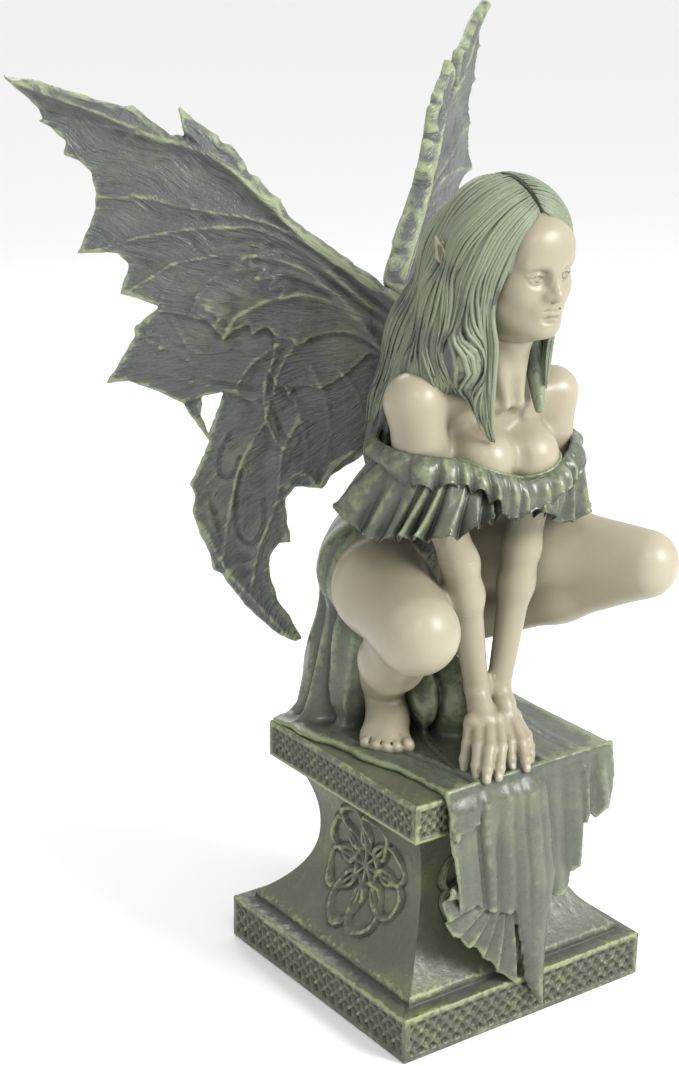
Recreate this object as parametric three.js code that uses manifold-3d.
// Garden statue: a winged fairy crouching on a square plinth with knotwork bands.
// Millimetres, +Z up, the figure looks along -Y, its right hand is on the -X side.
// The origin is the middle of the plinth's underside.
import * as THREE from "three";
import Module from "manifold-3d";

// ---------------------------------------------------------------- named sizes
const GAP = 0.3; // glue gap between pieces
const BASE = { half: 105, top: 33.4, chamfer: 1.6 };
const STEP = { half: 93.2, top: 39.1 };
const SHAFT = { waist: 59.5, waistZ: 100, foot: 93.0, head: 74.5, footPower: 2.3, headPower: 2.0, rings: 9 };
const CAP = { half: 86, bottom: 148.4, top: 177.0, chamfer: 1.4 };
const PANEL = { depth: 1.3, margin: 5.0 }; // sunken field behind the plaited bands
const MEDALLION = { radius: 40, ring: 5.0, proud: 1.6 };

const GRID = 3.6; // cell of the field that the figure is drawn from
const FIGURE_TRIANGLES = 4200;

// Both wings share one outline. Each runs straight back from its root, then cups outwards; the left one is raised a little.
const WING = { rootX: 8, rootY: 22, dirX: 0.7035, dirY: 0.7107, rootZ: 430, halfRoot: 3.2, halfRim: 1.7, span: 285, cup: 38.8, cupPower: 0.263, hubH: 25, leftLift: 0.13 };

// Limbs and masses of the figure: [from, to, radius at from, radius at to].
const TORSO = [
  [[-8, 68, 287], [20, 62, 287], 33, 34],
  [[6, 64, 300], [0, 30, 345], 36, 27],
  [[-7, 30, 345], [-13, -12, 394], 24, 27],
  [[7, 30, 345], [13, -12, 392], 24, 27],
  [[-14, -20, 408], [14, -20, 404], 25, 25],
  [[-56, -38, 438], [-12, -38, 436], 15.5, 17],
  [[51, -37, 425], [12, -38, 433], 15.5, 17],
  [[-19, -56, 397], [-15, -40, 410], 20, 18],
  [[20, -56, 394], [15, -40, 408], 20, 18],
  [[0, -38, 432], [4, -62, 482], 15, 13.5],
];
const ARMS = [
  [[-63, -40, 438], [-56, -42, 408], 17.5, 15.5],
  [[-56, -42, 408], [-25, -48, 324], 15.5, 11.5],
  [[-25, -48, 324], [-19, -47, 300], 11.5, 12.3],
  [[-19, -47, 300], [0, -40, 226], 12.0, 8.0],
  [[57, -39, 427], [51, -41, 398], 17, 15],
  [[51, -41, 398], [33, -42, 322], 15, 11.5],
  [[34, -42, 322], [30, -42, 298], 11.5, 12.0],
  [[30, -42, 298], [18, -42, 223], 11.8, 8.0],
];
const LEGS = [
  [[-18, 62, 288], [-53, -2, 297], 31, 30],
  [[-53, -2, 297], [-69, -62, 294], 30, 22],
  [[-69, -62, 294], [-45, -6, 252], 20, 25],
  [[-45, -6, 252], [-14, 46, 207], 25, 12.5],
  [[32, 56, 292], [78, -22, 305], 33, 31],
  [[78, -22, 305], [110, -84, 307], 30, 22],
  [[109, -83, 302], [80, -26, 264], 20, 24.5],
  [[80, -26, 264], [32, 44, 215], 24.5, 13],
];
const FEET = [
  [[-12, 58, 190], [-12, 50, 205], 12, 12.5],
  [[-16, 44, 198], [-36, 6, 186], 12, 9.5],
  [[-30, 12, 188], [-48, 8, 185], 9, 8],
  [[-34, 2, 184.5], [-39, -14, 182.5], 6.5, 5.6],
  [[-40, 4, 184], [-47, -12, 182], 5.4, 4.8],
  [[-45, 6, 183.5], [-53, -9, 182], 5.0, 4.6],
  [[-49, 9, 183], [-57, -3, 181.8], 4.8, 4.4],
  [[-51, 14, 183], [-60, 5, 181.6], 4.8, 4.4],
  [[28, 50, 214], [38, 14, 190], 12, 10],
  [[38, 14, 188], [44, -2, 183], 9, 6.5],
];
const HANDS = [
  [[0, -40, 226], [-6, -56, 208], 8.5, 9.5],
  [[-12, -54, 206], [2, -62, 206], 7.5, 7.5],
  [[-15, -54, 204], [-32, -69, 182.5], 5.0, 4.0],
  [[-13, -59, 205], [-33, -82, 182.5], 5.0, 4.2],
  [[-7, -63, 206], [-29, -90, 182.5], 5.2, 4.3],
  [[0, -65, 206], [-19, -90, 182.5], 5.2, 4.2],
  [[18, -42, 223], [14, -56, 208], 8.5, 9],
  [[6, -60, 204], [22, -60, 203], 7, 7],
  [[7, -64, 203], [-3, -84, 182], 5, 4.2],
  [[13, -66, 202], [4, -90, 182], 5, 4.2],
  [[19, -64, 200], [13, -84, 182], 4.8, 4.0],
];
const HEAD = [
  [[5, -57, 534], [6, -73, 506], 35, 24],
  [[6, -79, 503], [7, -89, 488], 19, 8.5],
];
const HAIR = [
  [[4, -48, 537], [4, -34, 526], 40.5, 39],
  [[4, -26, 515], [-8, -2, 465], 36, 31],
  [[-10, 0, 465], [-29, 4, 420], 30, 24],
  [[-30, 4, 420], [-46, 2, 392], 20, 13],
  [[-46, 2, 392], [-52, 8, 374], 12, 4],
  [[4, 0, 465], [10, 12, 410], 30, 20],
  [[10, 12, 410], [10, 22, 375], 18, 6],
  [[27, -32, 520], [42, -10, 455], 20, 17],
  [[42, -8, 455], [50, 4, 400], 16, 5],
  [[-27, -58, 532], [-35, -60, 468], 13, 10],
  [[-37, -58, 468], [-22, -75, 412], 9, 3.5],
  [[-38, -40, 500], [-46, -40, 455], 15, 13],
  [[-46, -40, 455], [-50, -54, 436], 10, 4],
  [[31, -48, 525], [28, -50, 475], 11, 7],
  [[28, -50, 475], [19, -70, 428], 7, 3.5],
];
const SKIRT = [
  [[-8, 64, 292], [-20, 68, 216], 36, 31],
  [[-20, 68, 216], [-50, 68, 182], 29, 16],
  [[13, 70, 292], [28, 72, 216], 37, 32],
  [[28, 72, 216], [52, 70, 182], 30, 15],
  [[4, 76, 290], [4, 80, 186], 34, 26],
  [[0, 40, 250], [4, 34, 190], 30, 26],
  [[-36, 40, 250], [-34, 52, 184], 20, 20],
  [[4, 0, 205], [12, -10, 182], 22, 10],
];
const SLEEVES = [
  // flared rings round the upper arms: middle of the top and of the hem, their radii, wall and number of frills
  { top: [-54, -40, 410], hem: [-49, -34, 344], r0: 21, r1: 42, wall: 2.6, frills: 9 },
  { top: [46, -40, 402], hem: [42, -38, 346], r0: 20, r1: 34, wall: 2.6, frills: 8 },
];
const BUST_FRILL = [
  [[-52, -58, 396], [-22, -72, 388], 9, 8],
  [[-22, -72, 388], [0, -74, 378], 8, 7],
  [[0, -74, 378], [24, -72, 386], 7, 8],
  [[24, -72, 386], [50, -54, 394], 8, 9],
];

// Cloth over the plinth: left edge of the cloth on the top as x at a few y, and the hem of the hanging part.
const CLOTH = { top: 181.6, right: 85.5, back: 84 };
const CLOTH_EDGE = [[-95, -63], [-90, -63], [-62, -60], [-37, -64.5], [-9, -71.7], [22, -76], [49, -84], [95, -85]]; // [y, x]
const DRAPE = { lip: -86.9, top: 181.2, wall: 3.0, floor: 36, throwOut: 17.6, pitch: 25, foldTop: 0.6, foldLow: 5.2, left: -61, right: 84.5, columns: 28, rows: 8 };
const HEM = [[-66, 150], [-60, 98], [-54, 72], [-42, 61], [-26, 50], [-14, 40], [-8, 29], [2, 22], [8, 12], [14, 24], [22, 40], [32, 46], [38, 84], [48, 92], [58, 101], [70, 120], [80, 138], [90, 176]]; // [x, z]

// Wing outline round the rim: [distance out from the root, height above the root].
const RIM = [
  [-4, 46], [10, 51], [31, 57], [47, 68], [61, 78], [85, 95], [96, 104], [101, 115], [116, 129], [127, 141], [141, 152], [158, 166], [169, 177],
  [165, 156], [174, 157], [187, 166], [199, 176], [235, 183], [262, 191], [285, 194], [272, 181], [259, 166], [263, 164], [254, 160],
  [245, 151], [246, 142], [228, 130], [225, 115], [227, 102], [239, 75], [224, 76], [211, 75], [204, 68], [211, 47],
  [197, 44], [184, 39], [201, 24], [201, 17], [222, -17], [206, -15], [185, -22], [169, -30], [151, -57], [154, -67], [164, -89],
  [161, -97], [162, -109], [156, -128], [148, -153], [142, -156], [127, -179], [106, -199], [90, -208], [85, -206],
  [92, -192], [102, -177], [108, -158], [108, -143], [102, -133], [93, -132], [96, -117], [97, -99], [90, -89], [71, -91], [65, -81],
  [50, -71], [28, -54], [8, -40], [-4, -34],
];
const HOLE = [[155, -25], [140, -21], [143, -30], [151, -51], [156, -39]];
const VEINS = [ // [tip out, tip up, bend, radius at the root]
  [276, 188, 0.075, 4.4], [166, 170, 0.02, 3.4], [234, 78, 0.1, 3.8], [208, 49, 0.08, 3.2], [217, -15, 0.09, 3.6], [89, -200, 0.33, 4.0],
];

// ---------------------------------------------------------------- small maths
const lerp = (a, b, t) => a + (b - a) * t;
const clamp = (v, lo, hi) => Math.min(hi, Math.max(lo, v));
function along(table, x) {
  if (x <= table[0][0]) return table[0][1];
  for (let i = 1; i < table.length; i++)
    if (x <= table[i][0]) {
      const [x0, y0] = table[i - 1], [x1, y1] = table[i];
      return lerp(y0, y1, (x - x0) / (x1 - x0));
    }
  return table[table.length - 1][1];
}
function roundCone(x, y, z, m) {
  const [a, b, r1, r2] = m;
  const bx = b[0] - a[0], by = b[1] - a[1], bz = b[2] - a[2];
  const l2 = bx * bx + by * by + bz * bz, rr = r1 - r2, a2 = l2 - rr * rr, il2 = 1 / l2;
  const px = x - a[0], py = y - a[1], pz = z - a[2];
  const yy = px * bx + py * by + pz * bz, zz = yy - l2;
  const vx = px * l2 - bx * yy, vy = py * l2 - by * yy, vz = pz * l2 - bz * yy;
  const x2 = vx * vx + vy * vy + vz * vz, y2 = yy * yy * l2, z2 = zz * zz * l2;
  const k = Math.sign(rr) * rr * rr * x2;
  if (Math.sign(zz) * a2 * z2 > k) return Math.sqrt(x2 + z2) * il2 - r2;
  if (Math.sign(yy) * a2 * y2 < k) return Math.sqrt(x2 + y2) * il2 - r1;
  return (Math.sqrt(x2 * a2 * il2) + yy * rr) * il2 - r1;
}
function blend(a, b, k) {
  const h = Math.max(k - Math.abs(a - b), 0) / k;
  return Math.min(a, b) - h * h * k * 0.25;
}
function masses(x, y, z, table, k) {
  let d = 1e3;
  for (const m of table) d = blend(d, roundCone(x, y, z, m), k);
  return d;
}
function sleeve(x, y, z, s) {
  const t = clamp((s.top[2] - z) / (s.top[2] - s.hem[2]), -0.2, 1.2);
  const cx = lerp(s.top[0], s.hem[0], t), cy = lerp(s.top[1], s.hem[1], t);
  const dx = x - cx, dy = y - cy, a = Math.atan2(dy, dx), u = clamp(t, 0, 1);
  const r = lerp(s.r0, s.r1, Math.pow(u, 1.2)) + Math.cos(a * s.frills) * 3.0 * u;
  const side = (Math.abs(Math.hypot(dx, dy) - r) - s.wall) * 0.86;
  return Math.max(side, z - s.top[2], s.hem[2] + 2.5 * Math.cos(a * s.frills + 1) - z);
}
function cloth(x, y, z) {
  const wrinkle = 0.7 * Math.sin(x * 0.16 + y * 0.07) + 0.5 * Math.sin(x * 0.05 - y * 0.13);
  return Math.max(z - CLOTH.top - wrinkle, 168 - z, (along(CLOTH_EDGE, y) - x) * 0.95, x - CLOTH.right, y - CLOTH.back, DRAPE.lip - y);
}
// Signed distance, near enough, to the whole figure: skin, hair, dress and the cloth that hangs from it.
function figureField(x, y, z) {
  let skin = masses(x, y, z, TORSO, 16);
  skin = blend(skin, masses(x, y, z, ARMS, 6), 8);
  skin = blend(skin, masses(x, y, z, LEGS, 9), 8);
  skin = blend(skin, masses(x, y, z, FEET, 5), 5);
  skin = Math.min(skin, masses(x, y, z, HANDS, 3));
  skin = blend(skin, masses(x, y, z, HEAD, 12), 6);
  const strands = 1.0 * Math.sin(Math.atan2(y + 30, x) * 16 + z * 0.03);
  let hair = masses(x, y, z, HAIR, 9) + strands;
  const face = Math.hypot((x - 7) / 25, (y + 106) / 30, (z - 511) / 41) - 1;
  hair = Math.max(hair, -face * 24);
  const turn = Math.atan2(y - 50, x);
  const pleat = 1.8 * Math.sin(turn * 15 + z * 0.035) * clamp((318 - z) / 60, 0, 1);
  let dress = masses(x, y, z, SKIRT, 16) + pleat;
  dress = Math.min(dress, masses(x, y, z, BUST_FRILL, 6) + 0.9 * Math.sin(x * 0.7));
  for (const s of SLEEVES) dress = Math.min(dress, sleeve(x, y, z, s));
  dress = Math.min(dress, cloth(x, y, z));
  return blend(blend(skin, hair, 2.5), dress, 2.5);
}

// ---------------------------------------------------------------- field to closed mesh
// Six tetrahedra to each cell, so the surface is closed whatever the field does.
function polygonise(field, lo, hi, step) {
  const n = [0, 1, 2].map((i) => Math.ceil((hi[i] - lo[i]) / step) + 1);
  const val = new Float64Array(n[0] * n[1] * n[2]);
  const at = (i, j, k) => i + n[0] * (j + n[1] * k);
  for (let k = 0; k < n[2]; k++)
    for (let j = 0; j < n[1]; j++)
      for (let i = 0; i < n[0]; i++) {
        const edge = i === 0 || j === 0 || k === 0 || i === n[0] - 1 || j === n[1] - 1 || k === n[2] - 1;
        let v = field(lo[0] + i * step, lo[1] + j * step, lo[2] + k * step);
        if (Math.abs(v) < 0.04) v = v < 0 ? -0.04 : 0.04;
        val[at(i, j, k)] = edge ? Math.max(v, 1) : v;
      }
  const pos = [], tris = [], seen = new Map(), total = val.length;
  const corner = [[0, 0, 0], [1, 0, 0], [1, 1, 0], [0, 1, 0], [0, 0, 1], [1, 0, 1], [1, 1, 1], [0, 1, 1]];
  const tets = [[0, 5, 1, 6], [0, 1, 2, 6], [0, 2, 3, 6], [0, 3, 7, 6], [0, 7, 4, 6], [0, 4, 5, 6]];
  const where = (id) => [lo[0] + (id % n[0]) * step, lo[1] + (Math.floor(id / n[0]) % n[1]) * step, lo[2] + Math.floor(id / (n[0] * n[1])) * step];
  const cut = (a, b) => {
    const key = a < b ? a * total + b : b * total + a;
    let id = seen.get(key);
    if (id === undefined) {
      const t = clamp(val[a] / (val[a] - val[b]), 0.04, 0.96), A = where(a), B = where(b);
      id = pos.length;
      pos.push([lerp(A[0], B[0], t), lerp(A[1], B[1], t), lerp(A[2], B[2], t)]);
      seen.set(key, id);
    }
    return id;
  };
  const face = (a, b, c, inner) => {
    const A = pos[a], B = pos[b], C = pos[c], I = where(inner);
    const ux = B[0] - A[0], uy = B[1] - A[1], uz = B[2] - A[2], vx = C[0] - A[0], vy = C[1] - A[1], vz = C[2] - A[2];
    const s = (uy * vz - uz * vy) * (A[0] - I[0]) + (uz * vx - ux * vz) * (A[1] - I[1]) + (ux * vy - uy * vx) * (A[2] - I[2]);
    tris.push(s > 0 ? [a, b, c] : [a, c, b]);
  };
  for (let k = 0; k < n[2] - 1; k++)
    for (let j = 0; j < n[1] - 1; j++)
      for (let i = 0; i < n[0] - 1; i++) {
        const id = corner.map((c) => at(i + c[0], j + c[1], k + c[2]));
        const negatives = id.filter((v) => val[v] < 0).length;
        if (negatives === 0 || negatives === 8) continue;
        for (const t of tets) {
          const q = t.map((c) => id[c]), inn = q.filter((v) => val[v] < 0), out = q.filter((v) => val[v] >= 0);
          if (inn.length === 1) face(cut(inn[0], out[0]), cut(inn[0], out[1]), cut(inn[0], out[2]), inn[0]);
          else if (inn.length === 3) {
            const a = cut(inn[0], out[0]), b = cut(inn[1], out[0]), c = cut(inn[2], out[0]);
            const A = pos[a], B = pos[b], C = pos[c], O = where(out[0]);
            const ux = B[0] - A[0], uy = B[1] - A[1], uz = B[2] - A[2], vx = C[0] - A[0], vy = C[1] - A[1], vz = C[2] - A[2];
            const s = (uy * vz - uz * vy) * (O[0] - A[0]) + (uz * vx - ux * vz) * (O[1] - A[1]) + (ux * vy - uy * vx) * (O[2] - A[2]);
            tris.push(s > 0 ? [a, b, c] : [a, c, b]);
          } else if (inn.length === 2) {
            const a = cut(inn[0], out[0]), b = cut(inn[0], out[1]), c = cut(inn[1], out[1]), d = cut(inn[1], out[0]);
            face(a, b, c, inn[0]);
            face(a, c, d, inn[0]);
          }
        }
      }
  return largest(pos, tris);
}
// The largest connected shell, and only the vertices that it uses.
function largest(pos, tris) {
  const up = pos.map((_, i) => i);
  const find = (i) => { while (up[i] !== i) { up[i] = up[up[i]]; i = up[i]; } return i; };
  for (const [a, b, c] of tris) { up[find(a)] = find(b); up[find(b)] = find(c); }
  const count = new Map();
  for (const t of tris) count.set(find(t[0]), (count.get(find(t[0])) || 0) + 1);
  const best = [...count].sort((a, b) => b[1] - a[1])[0][0];
  const keep = tris.filter((t) => find(t[0]) === best), map = new Map(), out = [];
  const id = (v) => { if (!map.has(v)) { map.set(v, out.length); out.push(pos[v]); } return map.get(v); };
  return { pos: out, tris: keep.map((t) => t.map(id)) };
}
// Collapses the edges that change the form least until few enough triangles are left.
function simplify({ pos, tris }, target) {
  const V = pos.map((p) => p.slice()), F = tris.map((t) => t.slice());
  const fan = V.map(() => new Set());
  F.forEach((f, i) => f.forEach((v) => fan[v].add(i)));
  const Q = V.map(() => new Float64Array(10));
  const plane = (f) => {
    const [A, B, C] = f.map((v) => V[v]);
    const u = [B[0] - A[0], B[1] - A[1], B[2] - A[2]], w = [C[0] - A[0], C[1] - A[1], C[2] - A[2]];
    const nn = [u[1] * w[2] - u[2] * w[1], u[2] * w[0] - u[0] * w[2], u[0] * w[1] - u[1] * w[0]];
    return [nn, Math.hypot(...nn), A];
  };
  for (const f of F) {
    const [nn, l, A] = plane(f);
    if (l < 1e-9) continue;
    const a = nn[0] / l, b = nn[1] / l, c = nn[2] / l, d = -(a * A[0] + b * A[1] + c * A[2]), w = l;
    const q = [a * a, a * b, a * c, a * d, b * b, b * c, b * d, c * c, c * d, d * d];
    for (const v of f) for (let i = 0; i < 10; i++) Q[v][i] += w * q[i];
  }
  const cost = (q, p) => {
    const [x, y, z] = p;
    return q[0] * x * x + 2 * q[1] * x * y + 2 * q[2] * x * z + 2 * q[3] * x + q[4] * y * y + 2 * q[5] * y * z + 2 * q[6] * y + q[7] * z * z + 2 * q[8] * z + q[9];
  };
  const stamp = new Int32Array(V.length), dead = new Uint8Array(V.length), gone = new Uint8Array(F.length);
  const heap = [];
  const push = (e) => {
    heap.push(e);
    let i = heap.length - 1;
    while (i > 0) { const p = (i - 1) >> 1; if (heap[p].c <= heap[i].c) break; [heap[p], heap[i]] = [heap[i], heap[p]]; i = p; }
  };
  const pop = () => {
    const top = heap[0], last = heap.pop();
    if (heap.length) {
      heap[0] = last;
      let i = 0;
      for (;;) {
        let s = i; const l = 2 * i + 1, r = l + 1;
        if (l < heap.length && heap[l].c < heap[s].c) s = l;
        if (r < heap.length && heap[r].c < heap[s].c) s = r;
        if (s === i) break;
        [heap[s], heap[i]] = [heap[i], heap[s]]; i = s;
      }
    }
    return top;
  };
  const sum = new Float64Array(10);
  const plan = (a, b) => {
    for (let i = 0; i < 10; i++) sum[i] = Q[a][i] + Q[b][i];
    const A = V[a], B = V[b], mid = [(A[0] + B[0]) / 2, (A[1] + B[1]) / 2, (A[2] + B[2]) / 2];
    let best = mid, c = cost(sum, mid);
    for (const p of [A, B]) { const e = cost(sum, p); if (e < c) { c = e; best = p; } }
    const [a0, a1, a2, a3, a4, a5, a6, a7, a8] = sum;
    const det = a0 * (a4 * a7 - a5 * a5) - a1 * (a1 * a7 - a5 * a2) + a2 * (a1 * a5 - a4 * a2);
    if (Math.abs(det) > 1e-3 * Math.max(1e-6, (a0 + a4 + a7) ** 3) * 1e-2) {
      const x = -(a3 * (a4 * a7 - a5 * a5) - a1 * (a6 * a7 - a5 * a8) + a2 * (a6 * a5 - a4 * a8)) / det;
      const y = -(a0 * (a6 * a7 - a8 * a5) - a3 * (a1 * a7 - a5 * a2) + a2 * (a1 * a8 - a6 * a2)) / det;
      const z = -(a0 * (a4 * a8 - a5 * a6) - a1 * (a1 * a8 - a6 * a2) + a3 * (a1 * a5 - a4 * a2)) / det;
      const p = [x, y, z];
      if (Math.hypot(x - mid[0], y - mid[1], z - mid[2]) < 2 * Math.hypot(A[0] - B[0], A[1] - B[1], A[2] - B[2])) {
        const e = cost(sum, p);
        if (e < c) { c = e; best = p; }
      }
    }
    const len = (A[0] - B[0]) ** 2 + (A[1] - B[1]) ** 2 + (A[2] - B[2]) ** 2;
    push({ c: Math.max(c, 0) + 1e-4 * len, a, b, p: best.slice(), sa: stamp[a], sb: stamp[b] });
  };
  const done = new Set();
  for (const f of F) for (let i = 0; i < 3; i++) {
    const a = Math.min(f[i], f[(i + 1) % 3]), b = Math.max(f[i], f[(i + 1) % 3]), key = a * V.length + b;
    if (!done.has(key)) { done.add(key); plan(a, b); }
  }
  const around = (v) => { const s = new Set(); for (const i of fan[v]) for (const w of F[i]) if (w !== v) s.add(w); return s; };
  let left = F.length;
  while (left > target && heap.length) {
    const e = pop(), { a, b, p } = e;
    if (dead[a] || dead[b] || stamp[a] !== e.sa || stamp[b] !== e.sb) continue;
    const na = around(a), nb = around(b);
    let shared = 0;
    for (const v of na) if (nb.has(v)) shared++;
    if (shared !== 2 || na.size + nb.size - 4 < 3) continue;
    let ok = true;
    for (const v of [a, b]) {
      for (const i of fan[v]) {
        const f = F[i];
        if (f.includes(a) && f.includes(b)) continue;
        const [n0, l0] = plane(f), old = V[v];
        V[v] = p;
        const [n1, l1] = plane(f);
        V[v] = old;
        if (l1 < 1e-4 || (n0[0] * n1[0] + n0[1] * n1[1] + n0[2] * n1[2]) < 0.3 * l0 * l1) { ok = false; break; }
      }
      if (!ok) break;
    }
    if (!ok) continue;
    V[a] = p;
    for (let i = 0; i < 10; i++) Q[a][i] += Q[b][i];
    for (const i of [...fan[b]]) {
      const f = F[i];
      if (f.includes(a)) { gone[i] = 1; left--; for (const v of f) fan[v].delete(i); }
      else { F[i] = f.map((v) => (v === b ? a : v)); fan[a].add(i); }
    }
    fan[b].clear();
    dead[b] = 1;
    stamp[a]++;
    for (const v of around(a)) plan(Math.min(a, v), Math.max(a, v));
  }
  const map = new Map(), out = [];
  const id = (v) => { if (!map.has(v)) { map.set(v, out.length); out.push(V[v]); } return map.get(v); };
  return { pos: out, tris: F.filter((_, i) => !gone[i]).map((t) => t.map(id)) };
}

// ---------------------------------------------------------------- join and cut
const wasm = await Module();
wasm.setup();
const { Manifold, Mesh } = wasm;
const solid = ({ pos, tris }) => new Manifold(new Mesh({ numProp: 3, vertProperties: new Float32Array(pos.flat()), triVerts: new Uint32Array(tris.flat()) }));
function geometryOf(m) {
  const g = m.getMesh(), v = new Float32Array(g.numVert * 3);
  for (let i = 0; i < g.numVert; i++) for (let j = 0; j < 3; j++) v[i * 3 + j] = g.vertProperties[i * g.numProp + j];
  return new THREE.BufferGeometry().setAttribute("position", new THREE.BufferAttribute(v, 3)).setIndex(new THREE.BufferAttribute(new Uint32Array(g.triVerts), 1));
}
const biggest = (m) => m.decompose().sort((a, b) => b.volume() - a.volume())[0];

// A square stack: [half width, height] from the bottom up, closed at both ends.
function squareStack(profile) {
  const pos = [], tris = [];
  for (const [h, z] of profile) pos.push([-h, -h, z], [h, -h, z], [h, h, z], [-h, h, z]);
  for (let r = 0; r < profile.length - 1; r++)
    for (let i = 0; i < 4; i++) {
      const a = r * 4 + i, b = r * 4 + ((i + 1) % 4), c = a + 4, d = b + 4;
      tris.push([a, b, d], [a, d, c]);
    }
  const t = (profile.length - 1) * 4;
  tris.push([0, 2, 1], [0, 3, 2], [t, t + 1, t + 2], [t, t + 2, t + 3]);
  return solid({ pos, tris });
}
const shaftHalf = (z) => {
  const t = z < SHAFT.waistZ ? (SHAFT.waistZ - z) / (SHAFT.waistZ - STEP.top) : (z - SHAFT.waistZ) / (CAP.bottom - SHAFT.waistZ);
  return z < SHAFT.waistZ ? lerp(SHAFT.waist, SHAFT.foot, t ** SHAFT.footPower) : lerp(SHAFT.waist, SHAFT.head, t ** SHAFT.headPower);
};
function plinthSolid(grow) {
  const c = BASE.chamfer, k = CAP.chamfer, g = grow, p = [[BASE.half - 0.6 + g, 0 - g], [BASE.half + g, 1.2 - g]];
  p.push([BASE.half + g, BASE.top - c + g], [BASE.half - c + g, BASE.top + g], [STEP.half + 0.8 + g, BASE.top + g + 0.01]);
  p.push([STEP.half + g, BASE.top + 1 + g], [STEP.half + g, STEP.top - 0.8 + g], [STEP.half - 0.6 + g, STEP.top + g]);
  for (let i = 1; i < SHAFT.rings; i++) {
    const z = lerp(STEP.top, CAP.bottom, i / SHAFT.rings);
    p.push([shaftHalf(z) + g, z]);
  }
  p.push([SHAFT.head + g, CAP.bottom - g], [CAP.half - k + g, CAP.bottom - g - 0.01], [CAP.half + g, CAP.bottom + k - g]);
  p.push([CAP.half + g, CAP.top - k + g], [CAP.half - k + g, CAP.top + g]);
  return squareStack(p);
}
const box = (x0, x1, y0, y1, z0, z1) => {
  const g = new THREE.BoxGeometry(x1 - x0, y1 - y0, z1 - z0).toNonIndexed(), pos = [], tris = [], seen = new Map(), a = g.attributes.position;
  for (let i = 0; i < a.count; i += 3)
    tris.push([0, 1, 2].map((j) => {
      const p = [a.getX(i + j) + (x0 + x1) / 2, a.getY(i + j) + (y0 + y1) / 2, a.getZ(i + j) + (z0 + z1) / 2], key = p.join();
      if (!seen.has(key)) { seen.set(key, pos.length); pos.push(p); }
      return seen.get(key);
    }));
  return solid({ pos, tris });
};
// Round knot ring and spokes lying on the hollow side of the shaft, as a raised band.
function medallion(side) {
  const pos = [], tris = [];
  const put = (a, r, lift) => {
    const u = r * Math.cos(a), z = 92 + r * Math.sin(a), h = shaftHalf(z) + lift;
    const [x, y] = [[-h, -u], [u, -h], [h, u], [-u, h]][side];
    pos.push([x, y, z]);
  };
  const n = 24;
  for (let i = 0; i < n; i++) {
    const a = (i / n) * 2 * Math.PI, R = MEDALLION.radius * (0.9 + 0.1 * Math.cos(a * 8));
    put(a, R, -3); put(a, R, MEDALLION.proud); put(a, R - MEDALLION.ring, MEDALLION.proud); put(a, R - MEDALLION.ring, -3);
  }
  for (let i = 0; i < n; i++)
    for (let j = 0; j < 4; j++) {
      const a = i * 4 + j, b = i * 4 + ((j + 1) % 4), c = ((i + 1) % n) * 4 + j, d = ((i + 1) % n) * 4 + ((j + 1) % 4);
      tris.push([a, b, d], [a, d, c]);
    }
  const m = solid({ pos, tris });
  return m.volume() < 0 ? solid({ pos, tris: tris.map(([a, b, c]) => [a, c, b]) }) : m;
}
function plinth() {
  let m = plinthSolid(0);
  for (const [half, z0, z1] of [[BASE.half, 1.2, BASE.top], [CAP.half, CAP.bottom, CAP.top]]) {
    const e = half - PANEL.margin, lo = z0 + PANEL.margin * 0.8, hi = z1 - PANEL.margin, d = half - PANEL.depth, far = half + 5;
    m = m.subtract(box(-far, -d, -e, e, lo, hi)).subtract(box(d, far, -e, e, lo, hi));
    m = m.subtract(box(-e, e, -far, -d, lo, hi)).subtract(box(-e, e, d, far, lo, hi));
  }
  for (let s = 0; s < 4; s++) m = m.add(medallion(s));
  return biggest(m);
}

// ---------------------------------------------------------------- wings
// side -1 is the figure's right wing, +1 its left one.
function placeWing(s, h, w, side) {
  const t = clamp(s / WING.span, 0, 1), a = side > 0 ? WING.leftLift : 0;
  const n = w + blend(WING.cup * Math.sin(Math.PI * t ** WING.cupPower), 5.6 + 0.986 * s, 6);
  const out = s * Math.cos(a) - (h - WING.hubH) * Math.sin(a), up = WING.hubH + s * Math.sin(a) + (h - WING.hubH) * Math.cos(a);
  return [side * (WING.rootX + WING.dirX * out - WING.dirY * n), WING.rootY + WING.dirY * out + WING.dirX * n, WING.rootZ + up];
}
function offset(loop, g) {
  if (!g) return loop;
  return loop.map((p, i) => {
    const a = loop[(i + loop.length - 1) % loop.length], b = loop[(i + 1) % loop.length];
    const dx = b[0] - a[0], dy = b[1] - a[1], l = Math.hypot(dx, dy) || 1;
    return [p[0] - (dy / l) * g, p[1] + (dx / l) * g];
  });
}
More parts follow.
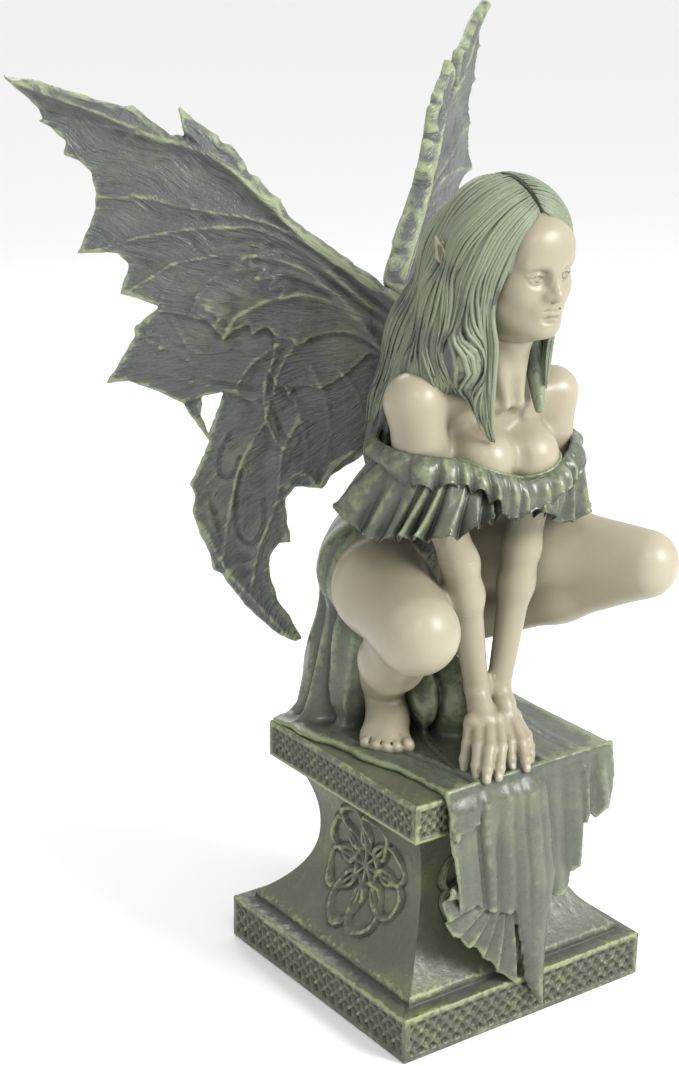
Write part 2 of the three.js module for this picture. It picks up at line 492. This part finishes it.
function membrane(side, grow) {
  // The sheet is divided along upright lines, so that it can follow the curve of the wing.
  const rim = offset(RIM, grow), hole = HOLE;
  let pts = [...rim, ...hole].map((p) => p.slice());
  let faces = THREE.ShapeUtils.triangulateShape(rim.map((p) => new THREE.Vector2(...p)), [hole.map((p) => new THREE.Vector2(...p))]);
  const area = ([a, b, c]) => (pts[b][0] - pts[a][0]) * (pts[c][1] - pts[a][1]) - (pts[b][1] - pts[a][1]) * (pts[c][0] - pts[a][0]);
  faces = faces.map((f) => (area(f) < 0 ? [f[0], f[2], f[1]] : f));
  for (const line of [30, 42, 90, 170]) {
    const made = new Map(), out = [], side = (v) => (Math.abs(pts[v][0] - line) < 0.5 ? 0 : Math.sign(pts[v][0] - line));
    const cross = (a, b) => {
      const key = Math.min(a, b) * 1e5 + Math.max(a, b);
      if (!made.has(key)) {
        const t = (line - pts[a][0]) / (pts[b][0] - pts[a][0]);
        made.set(key, pts.length);
        pts.push([line, lerp(pts[a][1], pts[b][1], t)]);
      }
      return made.get(key);
    };
    for (const f of faces) {
      const c = [0, 1, 2].filter((i) => side(f[i]) * side(f[(i + 1) % 3]) < 0);
      if (c.length === 2) {
        const i = c[0] === 0 && c[1] === 2 ? 0 : c[1]; // the corner that stands alone
        const [p, q, r] = [f[i], f[(i + 1) % 3], f[(i + 2) % 3]], pq = cross(p, q), rp = cross(r, p);
        out.push([p, pq, rp], [pq, q, r], [pq, r, rp]);
      } else if (c.length === 1) {
        const [p, q, r] = [f[c[0]], f[(c[0] + 1) % 3], f[(c[0] + 2) % 3]], pq = cross(p, q);
        out.push([p, pq, r], [pq, q, r]);
      } else out.push(f);
    }
    faces = out;
  }
  const thick = ([s, h]) => lerp(WING.halfRoot, WING.halfRim, clamp(Math.hypot(s, h - 20) / 150, 0, 1)) + (grow || 0);
  const n = pts.length, pos = [], tris = [], edges = new Map();
  for (const w of [1, -1]) for (const p of pts) pos.push(placeWing(p[0], p[1], w * thick(p), side));
  for (const [a, b, c] of faces) {
    tris.push([a, b, c], [a + n, c + n, b + n]);
    for (const [u, v] of [[a, b], [b, c], [c, a]]) edges.set(u * 1e5 + v, [u, v]);
  }
  for (const [u, v] of edges.values()) if (!edges.has(v * 1e5 + u)) tris.push([v, u, u + n], [v, u + n, v + n]);
  const m = solid({ pos, tris });
  return m.volume() < 0 ? solid({ pos, tris: tris.map(([a, b, c]) => [a, c, b]) }) : m;
}
function vein(side, [s1, h1, bend, r0]) {
  const start = [14, 22], steps = 4, sides = 4, pos = [], tris = [];
  const dx = s1 - start[0], dy = h1 - start[1];
  const at = (t) => [start[0] + dx * t - dy * bend * 4 * t * (1 - t), start[1] + dy * t + dx * bend * 4 * t * (1 - t)];
  for (let i = 0; i <= steps; i++) {
    const t = i / steps, p = at(t), q = at(t + 0.01), l = Math.hypot(q[0] - p[0], q[1] - p[1]);
    const nx = -(q[1] - p[1]) / l, ny = (q[0] - p[0]) / l, r = lerp(r0, 2.5, t);
    for (let j = 0; j < sides; j++) {
      const a = (j / sides) * 2 * Math.PI;
      pos.push(placeWing(p[0] + nx * r * Math.cos(a), p[1] + ny * r * Math.cos(a), r * 1.15 * Math.sin(a), side));
    }
  }
  for (let i = 0; i < steps; i++)
    for (let j = 0; j < sides; j++) {
      const a = i * sides + j, b = i * sides + ((j + 1) % sides);
      tris.push([a, b, b + sides], [a, b + sides, a + sides]);
    }
  for (let j = 1; j < sides - 1; j++) { tris.push([0, j + 1, j]); const t = steps * sides; tris.push([t, t + j, t + j + 1]); }
  const m = solid({ pos, tris });
  return m.volume() < 0 ? solid({ pos, tris: tris.map(([a, b, c]) => [a, c, b]) }) : m;
}
function wing(side) {
  let m = membrane(side, 0);
  for (const v of VEINS) m = m.add(vein(side, v));
  return biggest(m);
}

// ---------------------------------------------------------------- hanging cloth
// A pleated sheet from the lip of the plinth down to the hem; its upper end lies inside the cloth on top.
function drape() {
  const { columns: nc, rows: nr } = DRAPE, pos = [], tris = [];
  const at = (u, v, back) => {
    const x = lerp(DRAPE.left, DRAPE.right, u), low = along(HEM, x), z = lerp(DRAPE.top, low, v);
    const deep = clamp((CAP.top - z) / (CAP.top - DRAPE.floor), 0, 1), reach = 0.3 + 0.7 * Math.exp(-(((x - 8) / 24) ** 2));
    const fold = (0.5 + 0.5 * Math.cos(((x - 8) / DRAPE.pitch) * 2 * Math.PI)) * lerp(DRAPE.foldTop, DRAPE.foldLow, deep ** 0.7);
    return [x, DRAPE.lip - DRAPE.throwOut * deep * reach - fold - (back ? -2 * (z > CAP.bottom ? 2 : 0) : DRAPE.wall), z];
  };
  for (const back of [0, 1])
    for (let j = 0; j <= nr; j++) for (let i = 0; i <= nc; i++) pos.push(at(i / nc, j / nr, back));
  const n = (nc + 1) * (nr + 1), id = (i, j, b) => b * n + j * (nc + 1) + i;
  const quad = (a, b, c, d) => tris.push([a, b, c], [a, c, d]);
  for (let j = 0; j < nr; j++) for (let i = 0; i < nc; i++) {
    quad(id(i, j, 0), id(i, j + 1, 0), id(i + 1, j + 1, 0), id(i + 1, j, 0));
    quad(id(i, j, 1), id(i + 1, j, 1), id(i + 1, j + 1, 1), id(i, j + 1, 1));
  }
  for (let i = 0; i < nc; i++) { quad(id(i, 0, 0), id(i + 1, 0, 0), id(i + 1, 0, 1), id(i, 0, 1)); quad(id(i, nr, 0), id(i, nr, 1), id(i + 1, nr, 1), id(i + 1, nr, 0)); }
  for (let j = 0; j < nr; j++) { quad(id(0, j, 0), id(0, j, 1), id(0, j + 1, 1), id(0, j + 1, 0)); quad(id(nc, j, 0), id(nc, j + 1, 0), id(nc, j + 1, 1), id(nc, j, 1)); }
  const m = solid({ pos, tris });
  return m.volume() < 0 ? solid({ pos, tris: tris.map(([a, b, c]) => [a, c, b]) }) : m;
}

// ---------------------------------------------------------------- the statue
const wings = { [-1]: wing(-1), 1: wing(1) };
const body = simplify(polygonise(figureField, [-112, -112, 164], [145, 136, 592], GRID), FIGURE_TRIANGLES);
let figure = solid(body).add(drape()).subtract(plinthSolid(GAP));
for (const side of [-1, 1]) figure = figure.subtract(membrane(side, GAP + 0.1));
for (const side of [-1, 1]) for (const v of VEINS) {
  const [s, h, b, r] = v;
  figure = figure.subtract(vein(side, [s, h, b, r + GAP + 0.15]));
}
figure = biggest(figure);

const material = (color, roughness) => new THREE.MeshStandardMaterial({ color, roughness });
const root = new THREE.Group();
for (const [name, m, mat] of [
  ["plinth", plinth(), material(0x74806a, 0.8)],
  ["fairy_figure", figure, material(0xb9af9d, 0.6)],
  ["wing_right", wings[-1], material(0x6f7c70, 0.75)],
  ["wing_left", wings[1], material(0x6f7c70, 0.75)],
]) {
  const mesh = new THREE.Mesh(geometryOf(m), mat);
  mesh.name = name;
  root.add(mesh);
}
export default root;
